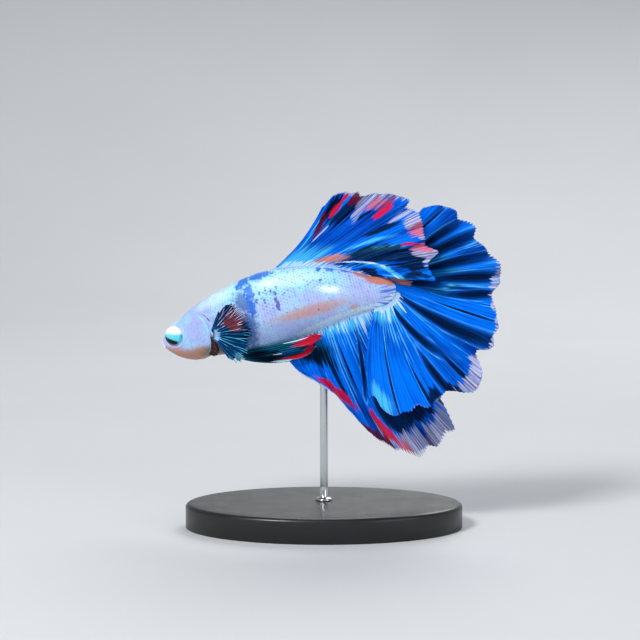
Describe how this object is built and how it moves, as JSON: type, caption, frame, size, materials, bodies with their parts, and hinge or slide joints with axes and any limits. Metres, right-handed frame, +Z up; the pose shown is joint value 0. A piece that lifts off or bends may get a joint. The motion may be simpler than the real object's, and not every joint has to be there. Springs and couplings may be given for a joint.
{
  "type": "betta fish model on display stand",
  "caption": "Life-size male halfmoon betta in mid swim with spread pleated fins, held on a small oval display stand.",
  "frame": {"origin": "middle of the stand base's flat underside, on the surface the stand rests on", "axes": "+Z up; the fish swims towards -X with its left flank facing -Y"},
  "size_m": [0.0692, 0.038, 0.0679],
  "materials": {
    "pearl_skin": "wet pearl skin with fine scales, lavender to mint, blue marbling",
    "eye": "polished, turquoise iris round a black pupil",
    "azure_fin": "satin, ribbed with fine rays, red and lavender tips",
    "teal_fin": "satin, ribbed with fine rays, red tips",
    "stand_lacquer": "black lacquer, satin",
    "stand_steel": "polished steel"
  },
  "bodies": {
    "root": {"head": "pearl_skin", "lower_jaw": "pearl_skin", "gill_cover_left": "pearl_skin", "gill_cover_right": "pearl_skin", "trunk": "pearl_skin", "tail_stalk": "pearl_skin", "eye_left": "eye", "eye_right": "eye", "dorsal_fin": "azure_fin", "anal_fin": "azure_fin", "tail_fin": "azure_fin", "ventral_fin_left": "teal_fin", "ventral_fin_right": "teal_fin", "pectoral_fin_left": "teal_fin", "pectoral_fin_right": "teal_fin", "stand_base": "stand_lacquer", "stand_rod": "stand_steel", "stand_cup": "stand_steel"}
  },
  "joints": []
}
